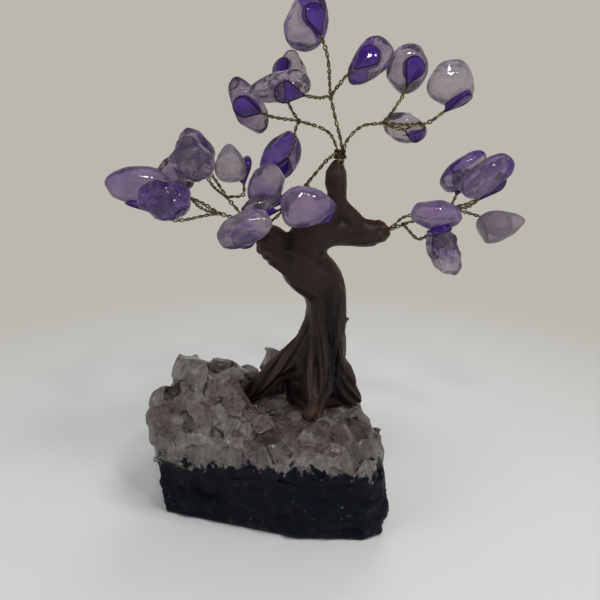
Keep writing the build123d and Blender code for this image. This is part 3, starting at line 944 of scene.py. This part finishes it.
def make_glue(branch, loops, stones, material):
    """The glue in each loop: domed outside, and spread on its stone inside."""
    verts, faces = [], []
    for loop in loops:
        tree = BVHTree.FromObject(stones[loop.name], bpy.context.evaluated_depsgraph_get())
        points, count = pad_points(loop, tree)
        faces += pad_faces(len(verts), count)
        verts += points
    mesh = bpy.data.meshes.new("glue_" + branch)
    mesh.from_pydata([tuple(v) for v in verts], [], faces)
    bm = bmesh.new()
    bm.from_mesh(mesh)
    bmesh.ops.recalc_face_normals(bm, faces=bm.faces)
    bm.to_mesh(mesh)
    bm.free()
    finish(link("glue_" + branch, mesh), material, "glue_pads_" + branch)


# Trunk

# Fuller places on the trunk: from, to, radius at each end (mm)
TRUNK_SWELLS = [
    ((18.9, 5.6, 100.0), (18.9, 5.6, 96.6), 3.1, 3.5),
    ((19.4, 5.6, 91.5), (26.5, 5.6, 83.4), 2.4, 2.6),
    ((20.6, 5.2, 45.5), (24.0, 3.6, 37.4), 2.4, 2.0),
    ((-0.5, 2.6, 79.2), (7.4, 4.6, 72.0), 2.7, 3.2),
    ((15.8, 4.4, 73.0), (16.7, 2.3, 60.5), 3.0, 3.5),
    ((14.8, 4.4, 70.0), (14.5, 2.0, 55.0), 3.0, 3.4),
    ((18.0, 6.4, 70.0), (18.8, 9.0, 55.5), 3.0, 3.5),
    ((13.8, 6.4, 70.0), (13.2, 9.0, 55.5), 3.0, 3.5),
    ((6.6, 7.0, 44.5), (4.8, 6.4, 37.6), 2.4, 1.7),
    ((12.7, -6.2, 38.0), (12.8, -7.9, 33.6), 1.6, 1.5),
]
SWELL_STEP = 0.5 * MM

# Places drawn in or out: middle, reach along each axis, and the shift (mm)
TRUNK_PUSHES = [
    ((4.9, 3.8, 81.6), (2.2, 5.0, 2.6), (0.0, 0.0, -2.8)),
    ((23.5, 5.6, 46.0), (2.6, 5.0, 4.0), (-1.5, 0.0, 0.0)),
    ((16.0, 5.6, 92.4), (1.6, 5.0, 2.2), (0.8, 0.0, 0.0)),
    ((18.0, -2.5, 50.0), (1.4, 4.5, 10.0), (0.0, 2.8, 0.0)),
    ((16.2, -8.0, 35.0), (1.8, 5.0, 5.0), (-1.8, 0.0, 0.0)),
    ((8.8, -8.0, 35.0), (1.8, 5.0, 5.0), (1.8, 0.0, 0.0)),
    ((14.8, 3.0, 76.6), (0.6, 0.9, 0.5), (1.7, 0.0, -0.2)),
    ((22.3, 5.0, 57.4), (0.6, 0.9, 0.5), (1.1, 0.0, 0.1)),
]

# Heights (mm) and a share at each: how deep the folds run, how much painted shade darkens the roots'
# feet, and where the painted shadow down the front and the tan on the front root show
FOLD_LEVELS = [34, 46, 62, 72, 84, 104], [1.0, 1.0, 0.75, 0.28, 0.16, 0.10]
FOOT_PAINTED_SHADE_LEVELS = [34, 38, 42, 58, 72], [0.26, 0.20, 0.10, 0.08, 0.0]
SEAM_PAINTED_SHADOW_LEVELS = [36, 40, 62, 72], [0.6, 1, 1, 0]
TAN_LEVELS = [33, 38, 44], [1, 1, 0]

TRUNK_VOXEL, TRUNK_ROUNDS = 0.42 * MM, 34
LIMB_STEP, LIMB_WIDTH = 1.0 * MM, 5.5 * MM
FOLD_TURN, FOLD_WAVE, FINE_FOLD_WAVE = 24 * MM, 26 * MM, 15 * MM
FOLD_DEPTH, FOLD_SWELL = 0.95 * MM, 0.25 * MM
# Where the side stubs' rough ends start, and where the top stub's tip narrows
RIGHT_END, LEFT_END, ENDS_HEIGHT, END_BLUR = 28 * MM, 3 * MM, 70 * MM, 3 * MM
TIP_X, TIP_START, TIP_LOW, TIP_HIGH = 18.9 * MM, 99 * MM, 100.2 * MM, 103.4 * MM


def bell(values, middle, width):
    """1 at the middle, falling off to each side."""
    return np.exp(-(((values - middle) / width) ** 2))


def swell_mesh(swells):
    """Rounded bars between pairs of points, each with its own radius at either end (mm)."""
    bm = bmesh.new()
    for start, end, thick, thin in swells:
        start, end = Vector(start) * MM, Vector(end) * MM
        steps = max(int((end - start).length / SWELL_STEP), 1)
        for k in range(steps + 1):
            share = k / steps
            radius = (thick + (thin - thick) * share) * MM
            place = Matrix.Translation(start.lerp(end, share))
            bmesh.ops.create_icosphere(bm, subdivisions=2, radius=radius, matrix=place)
    mesh = bpy.data.meshes.new("swells")
    bm.to_mesh(mesh)
    bm.free()
    return mesh


def wound_noise(angles, along, wave, fineness, seed):
    """Noise round and along a limb."""
    return np.array([
        noise.noise(Vector((math.cos(a) * fineness, math.sin(a) * fineness, s / wave + seed)))
        for a, s in zip(angles, along)
    ])


def limb_folds(points, line, number):
    """How deep one limb's folds run at each point, and how near the points are to the limb."""
    tangent = unit(np.gradient(line, axis=0))
    gaps = np.linalg.norm(points[:, None, :] - line[None, :, :], axis=2)
    near = gaps.argmin(1)
    t = tangent[near]
    arm = points - line[near]
    arm = arm - t * (arm * t).sum(1)[:, None]
    side = unit(np.cross(t, [0.0, 1.0, 0.12]))
    up = np.cross(t, side)
    along = near * LIMB_STEP
    turned = np.arctan2((arm * up).sum(1), (arm * side).sum(1)) + along / FOLD_TURN
    broad = wound_noise(turned, along, FOLD_WAVE, 1.35, 5 * number)
    fine = wound_noise(turned, along, FINE_FOLD_WAVE, 3.6, 9 * number)
    fold = (1 - np.abs(broad) / 0.20).clip(-0.5, 1) + 0.22 * (1 - np.abs(fine) / 0.2).clip(-0.4, 1)
    return fold, bell(gaps.min(1), 0, LIMB_WIDTH) + 1e-6


def flutes(points):
    """How deep the folds run at each point of the trunk."""
    fold, weight = np.zeros(len(points)), np.zeros(len(points))
    for number, shares in enumerate(LIMB_SHARES.values()):
        line = spline([in_trunk(*share) for share in shares], LIMB_STEP)
        value, share = limb_folds(points, line, number)
        fold += value * share
        weight += share
    return fold / weight


def shape_trunk(mesh):
    """Folds that deepen and spread towards the roots, rough stub ends and a narrow tip."""
    points, out = coords(mesh), normals(mesh)
    share = np.interp(points[:, 2] / MM, *FOLD_LEVELS)
    push = -flutes(points) * FOLD_DEPTH * share + FOLD_SWELL * share
    push += 0.10 * MM * field(points, 2.4 * MM, 3) + 0.45 * MM * field(points, 9 * MM, 14)
    points = pushed(points + out * push[:, None], TRUNK_PUSHES)
    ends = np.clip((points[:, 0] - RIGHT_END) / END_BLUR, 0, 1)
    ends += np.clip((LEFT_END - points[:, 0]) / END_BLUR, 0, 1)
    ends *= points[:, 2] > ENDS_HEIGHT
    points = points + out * (0.55 * MM * ends * field(points, 1.5 * MM, 52))[:, None]
    tip = np.array([TIP_X, TRUNK_Y])
    narrow = np.interp(points[:, 2], [TIP_LOW, TIP_HIGH], [1.0, 0.55])[:, None]
    narrow[points[:, 2] < TIP_START] = 1.0
    points[:, :2] = tip + (points[:, :2] - tip) * narrow
    low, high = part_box("trunk")
    points[:, 2] = np.clip(points[:, 2], low.z, high.z)
    set_coords(mesh, points)


def shade_trunk(trunk):
    """Gives the trunk painted shade in its folds and on its feet, a painted shadow down its front, and the
    tan on its front root.
    """
    points = coords(trunk.data)
    height = points[:, 2] / MM
    # painted shadow: a dark band down the front of the trunk, right of its middle
    painted_seam_shadow = bell(points[:, 0], (18.0 + 0.04 * (50 - height)) * MM, 2.1 * MM)
    painted_seam_shadow *= np.interp(height, *SEAM_PAINTED_SHADOW_LEVELS) * (points[:, 1] < 4 * MM)
    ridge = 0.45 + 0.42 * ridges(trunk.data, 16, 0.30 * MM)
    # painted shade: the band and the roots' feet are taken off the ridge value, which the bark turns near
    # black
    give(trunk, "ridge", ridge - 0.50 * painted_seam_shadow - np.interp(height, *FOOT_PAINTED_SHADE_LEVELS))
    # a paler tan down the front of the front root and on its foot
    front = bell(points[:, 0], 13.0 * MM, 1.3 * MM) * (points[:, 1] < 0) * 0.8
    foot = np.clip((36.0 - height) / 2.5, 0, 1) * bell(points[:, 0], 12.6 * MM, 4 * MM)
    paler_tan = np.clip(front * np.interp(height, *TAN_LEVELS) + foot, 0, 1)
    give(trunk, "tan", paler_tan * (0.65 + 0.5 * field(points, 2.5 * MM, 33)))


def make_trunk(material):
    """The moulded trunk: smooth swelling limbs above, and folded roots below."""
    trunk = solid_copy("trunk", "moulded_trunk")
    join_to(trunk, swell_mesh(TRUNK_SWELLS))
    remesh(trunk, TRUNK_VOXEL, TRUNK_ROUNDS)
    shape_trunk(trunk.data)
    soften(trunk, 1)
    settle(trunk)
    shade_trunk(trunk)
    finish(trunk, material, "trunk")


# Rock and crystals

# Places of the rock drawn in or out: middle, reach along each axis, and the shift (mm)
BASE_PUSHES = [
    ((32.0, -14.0, 6.0), (7.0, 8.0, 14.0), (3.4, -2.4, 0.0)),
    ((34.0, 14.0, 12.0), (8.0, 9.0, 16.0), (-3.5, -3.0, 0.0)),
]
DRUSE_PUSHES = BASE_PUSHES[1:] + [
    ((-14.4, 10.0, 46.0), (5.0, 8.0, 6.0), (0.0, 0.0, -5.0)),
    ((-21.8, 6.0, 47.5), (5.0, 8.0, 5.0), (-0.5, 0.0, -1.8)),
    ((-18.5, 8.0, 42.0), (3.0, 8.0, 3.0), (0.0, 0.0, 1.0)),
]

# How deep the crystals' underside goes into the block
SEAM_DEPTH = 1.8 * MM
DRUSE_VOXEL, BASE_VOXEL = 0.36 * MM, 0.55 * MM
# Heights (mm), and how far the crystals may stand out from the block's sides there (mm)
SPARE_LEVELS = [17, 18.4, 20, 22, 27, 36], [-0.7, -0.15, 0.15, 0.4, 1.2, 3.2]
# The smaller crystals: how many, how far they stray (mm), and what stays free round the trunk
CRYSTAL_COUNT, CRYSTAL_STRAY = 70, 2.2
FREE_ACROSS, FREE_DEEP, FREE_BELOW = 14 * MM, 11 * MM, 3 * MM
# The crystal seen behind the left root: its foot, axis, radius and length
BACK_CRYSTAL = Vector((0.2, 14.0, 33.5)) * MM, Vector((0.06, 0.1, 1.0)), 4.2 * MM, 10.4 * MM
# The crystals' faces: how far apart, how much they turn, and how far they move the surface
FACE_SPACING, FACE_TILT, FACE_LIMIT = 4.2 * MM, 0.16, 0.75 * MM
FACE_TRIES = 6000


def quartz_point(bm, foot, axis, radius, length, turn, blunt):
    """One six-sided quartz crystal with a worn, uneven point."""
    axis = axis.normalized()
    side = axis.orthogonal().normalized()
    up = axis.cross(side)
    draw = random.Random(int(1e6 * (foot.x + foot.y * 3 + turn)))
    rings = []
    for level, share in ((0.0, 1.0), (length * draw.uniform(0.60, 0.72), 0.97), (length, blunt)):
        ring = []
        for k in range(6):
            angle = turn + k * math.pi / 3 + draw.uniform(-0.08, 0.08)
            reach = radius * share * draw.uniform(0.88, 1.08)
            rise = level + (draw.uniform(-0.10, 0.10) * length if level else 0)
            outward = side * math.cos(angle) + up * math.sin(angle)
            ring.append(bm.verts.new(foot + axis * rise + outward * reach))
        rings.append(ring)
    for low, high in zip(rings, rings[1:]):
        for k in range(6):
            nxt = (k + 1) % 6
            bm.faces.new((low[k], low[nxt], high[nxt], high[k]))
    bm.faces.new(list(reversed(rings[0])))
    bm.faces.new(rings[-1])


def crystal_spots(mesh, low, high, draw):
    """Where smaller crystals grow on the druse: each one's foot, axis, radius and length."""
    bm = bmesh.new()
    bm.from_mesh(mesh)
    bmesh.ops.triangulate(bm, faces=bm.faces)
    tree = BVHTree.FromBMesh(bm)
    picks = [(face.calc_center_median(), face.calc_area()) for face in bm.faces]
    bm.free()
    total = sum(area for _, area in picks)
    centre = (low + high) / 2
    spots = []
    while len(spots) < CRYSTAL_COUNT:
        goal = draw.uniform(0, total)
        for place, area in picks:
            goal -= area
            if goal <= 0:
                break
        stray = Vector([draw.uniform(-1, 1) for _ in range(3)]) * CRYSTAL_STRAY * MM
        place, facing = tree.find_nearest(place + stray)[:2]
        by_trunk = abs(place.x - TRUNK_X) < FREE_ACROSS and abs(place.y - TRUNK_Y) < FREE_DEEP
        if facing.z < -0.3 or place.z < low.z + 0.5 * MM or (place.z > TRUNK_FOOT - FREE_BELOW and by_trunk):
            continue
        outward = Vector((place.x - centre.x, place.y - centre.y, 0)) / (28 * MM)
        axis = facing * 0.55 + Vector((0, 0, 0.75)) + outward * 0.35
        radius = draw.uniform(3.0, 5.6) * MM
        length = radius * draw.uniform(1.6, 2.2)
        spots.append((place - axis.normalized() * length * 0.76, axis, radius, length))
    return spots


def grow_crystals(druse, spots, draw):
    """Adds the smaller crystals to the druse."""
    bm = bmesh.new()
    for foot, axis, radius, length in spots:
        quartz_point(bm, foot, axis, radius, length, draw.uniform(0, 1.05), draw.uniform(0.18, 0.55))
    mesh = bpy.data.meshes.new("small_points")
    bm.to_mesh(mesh)
    bm.free()
    join_to(druse, mesh)


def block_sides():
    """The sides of the rock seen from above: a point on each and the direction it faces."""
    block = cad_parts["base_rock"].data
    flat = [Vector((v.co.x, v.co.y)) for v in block.vertices if v.co.z > 2 * MM]
    corners = [flat[k] for k in convex_hull_2d(flat)]
    middle = sum(corners, Vector((0, 0))) / len(corners)
    sides = []
    for a, b in zip(corners, corners[1:] + corners[:1]):
        along = b - a
        if along.length < 0.5 * MM:
            continue
        facing = Vector((along.y, -along.x)).normalized()
        if facing.dot(a - middle) < 0:
            facing = -facing
        sides.append((np.array(a), np.array(facing)))
    return sides


def held_in(points):
    """The points, those that stand out too far from the block's sides drawn back."""
    points = points.copy()
    spare = np.interp(points[:, 2] / MM, *SPARE_LEVELS) * MM
    for corner, facing in block_sides():
        excess = np.clip((points[:, :2] - corner) @ facing - spare, 0, None)
        points[:, :2] -= facing * (0.92 * excess)[:, None]
    return points


def nearest_mark(points, marks):
    """For each point, the number of the nearest mark."""
    tree = KDTree(len(marks))
    for number, place in enumerate(marks):
        tree.insert(place, number)
    tree.balance()
    return np.array([tree.find(point)[1] for point in points])


def faceted(mesh, seed):
    """The mesh's points, moved onto flats: each is a worn crystal face turned its own way. Also the
    middles of the faces and a tint for each."""
    points, out = coords(mesh), normals(mesh)
    draw = np.random.default_rng(seed)
    picks = []
    for pick in draw.permutation(len(points))[:FACE_TRIES]:
        if not picks or np.linalg.norm(points[picks] - points[pick], axis=1).min() > FACE_SPACING:
            picks.append(pick)
    marks = points[picks]
    owner = nearest_mark(points, marks)
    count = np.maximum(np.bincount(owner, minlength=len(marks)), 1)[:, None]
    facing, middle = np.zeros((len(marks), 3)), np.zeros((len(marks), 3))
    for axis in range(3):
        facing[:, axis] = np.bincount(owner, out[:, axis], len(marks))
        middle[:, axis] = np.bincount(owner, points[:, axis], len(marks))
    middle /= count
    facing = unit(unit(facing) + draw.normal(0, FACE_TILT, (len(marks), 3)))
    gap = ((middle[owner] - points) * facing[owner]).sum(1)
    lean = np.maximum((out * facing[owner]).sum(1), 0.5)
    shift = np.clip(0.9 * gap / lean, -FACE_LIMIT, FACE_LIMIT)
    tints = np.array([draw.uniform(-0.5, 0.5) for _ in marks])
    return points + out * shift[:, None], marks, tints


def fill_hollows(mesh):
    """Draws the gaps between the crystals out, so that they are one mass, inside the block's sides."""
    points, out = coords(mesh), normals(mesh)
    hollow = np.clip(((eased(points, mesh, 60) - points) * out).sum(1), 0, None)
    points = points + out * (0.85 * hollow)[:, None]
    set_coords(mesh, pushed(held_in(points), DRUSE_PUSHES))


def pit_crystals(mesh, low, high):
    """A fine unevenness and a few pits, kept within the solid's box."""
    points, out = coords(mesh), normals(mesh)
    pits = np.clip(field(points, 1.7 * MM, 5, 2) - 0.46, 0, 1)
    points = points + out * ((0.10 * field(points, 1.0 * MM, 9) - 0.6 * pits) * MM)[:, None]
    for axis in range(3):
        points[:, axis] = np.clip(points[:, axis], low[axis] - SEAM_DEPTH * (axis == 2), high[axis])
    set_coords(mesh, points)


def make_druse(material):
    """The crystals: the solid's points, worn, with smaller ones grown over and between them."""
    druse = solid_copy("crystal_druse", "quartz_crystals")
    low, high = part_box("crystal_druse")
    draw = random.Random(11)
    spots = crystal_spots(druse.data, low, high, draw) + [BACK_CRYSTAL]
    points = coords(druse.data)
    points[:, 2] -= SEAM_DEPTH * (points[:, 2] < low.z + 0.2 * MM)
    set_coords(druse.data, points)
    grow_crystals(druse, spots, draw)
    remesh(druse, DRUSE_VOXEL, 1)
    fill_hollows(druse.data)
    points, marks, tints = faceted(druse.data, 5)
    set_coords(druse.data, eased(points, druse.data, 1))
    remesh(druse, DRUSE_VOXEL, 1)
    pit_crystals(druse.data, low, high)
    give(druse, "ridge", ridges(druse.data, 8, 0.26 * MM))
    give(druse, "tint", tints[nearest_mark(coords(druse.data), marks)])
    finish(druse, material, "crystal_druse")


def make_base(material):
    """The painted foot of the rock: broken faces, an undercut groove and a flat sawn underside."""
    base = solid_copy("base_rock", "painted_rock")
    remesh(base, BASE_VOXEL, 2)
    low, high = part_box("base_rock")
    points, out = coords(base.data), normals(base.data)
    hold = np.interp(points[:, 2] / MM, [0, 2.5, 13, 17.5], [0, 1, 1, 0.1])
    broken = field(points, 11 * MM, 21, 4) * 1.5 - 1.6 * (0.5 - np.clip(cells(points, 8 * MM, 6), 0, 0.5))
    broken += 0.75 * field(points, 3.0 * MM, 24, 4)
    across = points[:, 0] + 20 * MM
    groove = bell(points[:, 2], 8.5 * MM - 0.10 * across, 0.9 * MM)
    groove *= np.clip(1.2 - np.abs(across) / (9 * MM), 0, 1) * (points[:, 1] < 0)
    push = (np.clip(broken, -2.6, 0.7) * (0.15 + 0.85 * hold) - 1.9 * groove) * MM
    out[:, 2] *= np.where(points[:, 2] < 1.0 * MM, 0, 1)
    points = points + out * push[:, None]
    for axis in range(3):
        spare = 0.8 * MM * (axis < 2)
        points[:, axis] = np.clip(points[:, axis], low[axis] - spare, high[axis] + spare)
    set_coords(base.data, pushed(points, BASE_PUSHES))
    give(base, "ridge", ridges(base.data, 6, 0.40 * MM))
    finish(base, material, "base_rock")


# Stage, lights and camera

WALL_COLOUR = (0.497, 0.479, 0.429)
CEILING_COLOUR = (0.10, 0.10, 0.10)
FLOOR_COLOUR = (0.76, 0.76, 0.75)
LIGHT_COLOUR, LIGHT_STRENGTH = (0.92, 0.96, 1.0), 0.30
FLOOR_REACH = 3.0
# How far from the object the floor starts to look like the wall, and where it does
FADE_START, FADE_END = 0.085, 0.23

# Lamps: place, size, power, colour, and whether glass mirrors them as sharp points of light
LAMPS = {
    "key": ((0.25, -0.20, 0.62), 0.22, 1.4, (1.0, 0.985, 0.95), False),
    "fill": ((-0.55, -0.35, 0.40), 0.50, 1.0, (0.95, 0.975, 1.0), False),
    "back": ((0.15, 0.50, 0.45), 0.35, 0.75, (1, 1, 1), False),
    "point_right": ((0.19, -0.34, 0.48), 0.055, 0.42, (1, 1, 1), True),
    "point_left": ((0.02, -0.38, 0.50), 0.055, 0.36, (1, 1, 1), True),
}
LAMP_TARGET = (0.01, 0.0, 0.07)

CAMERA_PLACE = (8.9 * MM, -224.4 * MM, 143.5 * MM)
CAMERA_PITCH = 19.3
FOCAL_PIXELS = 850
FRAME_PIXELS = 600
SENSOR = 36.0


def seen_rays(nodes):
    """1 for what the camera sees, also in a reflection or through glass, and 0 for light that falls."""
    camera, glossy, through = (
        nodes.add("ShaderNodeLightPath", {}, ray)
        for ray in ("Is Camera Ray", "Is Glossy Ray", "Is Transmission Ray")
    )
    return nodes.maths("MAXIMUM", nodes.maths("MAXIMUM", camera, glossy), through)


def make_stage():
    """A pale floor that takes the object's shadow and runs into the colour of the wall behind."""
    mesh = bpy.data.meshes.new("floor")
    corners = [(x * FLOOR_REACH, y * FLOOR_REACH, 0) for x, y in ((-1, -1), (1, -1), (1, 1), (-1, 1))]
    mesh.from_pydata(corners, [], [(0, 1, 2, 3)])
    floor = link("floor", mesh)
    material, nodes = new_material("pale_floor")
    paint = nodes.principled(Base_Color=FLOOR_COLOUR, Roughness=0.6, Specular_IOR_Level=0.2)
    wall = nodes.add("ShaderNodeEmission", {"Color": WALL_COLOUR})
    far = nodes.add("ShaderNodeVectorMath", {0: nodes.place()}, "Value", operation="LENGTH")
    share = nodes.span(far, FADE_START, FADE_END, curve="SMOOTHSTEP")
    nodes.show(nodes.blend(nodes.maths("MULTIPLY", share, seen_rays(nodes)), paint, wall))
    floor.data.materials.append(material)


def make_world():
    """Even light, and for what is seen a pale wall under a darker ceiling."""
    world = bpy.data.worlds.new("studio")
    bpy.context.scene.world = world
    world.use_nodes = True
    nodes = Nodes(world.node_tree)
    light = nodes.add("ShaderNodeBackground", {"Color": LIGHT_COLOUR, "Strength": LIGHT_STRENGTH})
    height = nodes.axis("Z", "Generated")
    room = nodes.ramp(height, [(0.0, WALL_COLOUR), (0.30, WALL_COLOUR), (0.62, CEILING_COLOUR)], "EASE")
    shown = nodes.add("ShaderNodeBackground", {"Color": room})
    nodes.show(nodes.blend(seen_rays(nodes), light, shown), "ShaderNodeOutputWorld")


def make_lights():
    for name, (place, size, power, colour, mirrored) in LAMPS.items():
        data = bpy.data.lights.new(name, "AREA")
        data.shape = "DISK"
        data.size = size
        data.energy = power
        data.color = colour
        lamp = bpy.data.objects.new(name, data)
        bpy.context.scene.collection.objects.link(lamp)
        lamp.location = place
        lamp.rotation_euler = (Vector(LAMP_TARGET) - Vector(place)).to_track_quat("-Z", "Y").to_euler()
        lamp.visible_glossy = mirrored
        lamp.visible_transmission = False


def make_camera():
    data = bpy.data.cameras.new("camera")
    data.sensor_width = SENSOR
    data.lens = SENSOR * FOCAL_PIXELS / FRAME_PIXELS
    data.clip_start = 0.01
    camera = bpy.data.objects.new("camera", data)
    bpy.context.scene.collection.objects.link(camera)
    camera.location = CAMERA_PLACE
    camera.rotation_euler = (math.radians(90 - CAMERA_PITCH), 0, 0)
    bpy.context.scene.camera = camera


def main():
    make_camera()
    make_world()
    make_stage()
    make_lights()
    wire, glue = wire_material(), glue_material()
    for branch in STEMS:
        loops = read_loops(branch)
        make_wire(branch, loops, wire)
        stones = {loop.name: make_stone(loop) for loop in loops}
        make_glue(branch, loops, stones, glue)
    make_binding(dark_wire_material())
    make_trunk(bark_material())
    make_druse(rock_material("quartz", clear=0.42))
    make_base(rock_material("painted_rock", clear=0.05))
    bpy.context.scene.view_settings.view_transform = "Standard"


main()
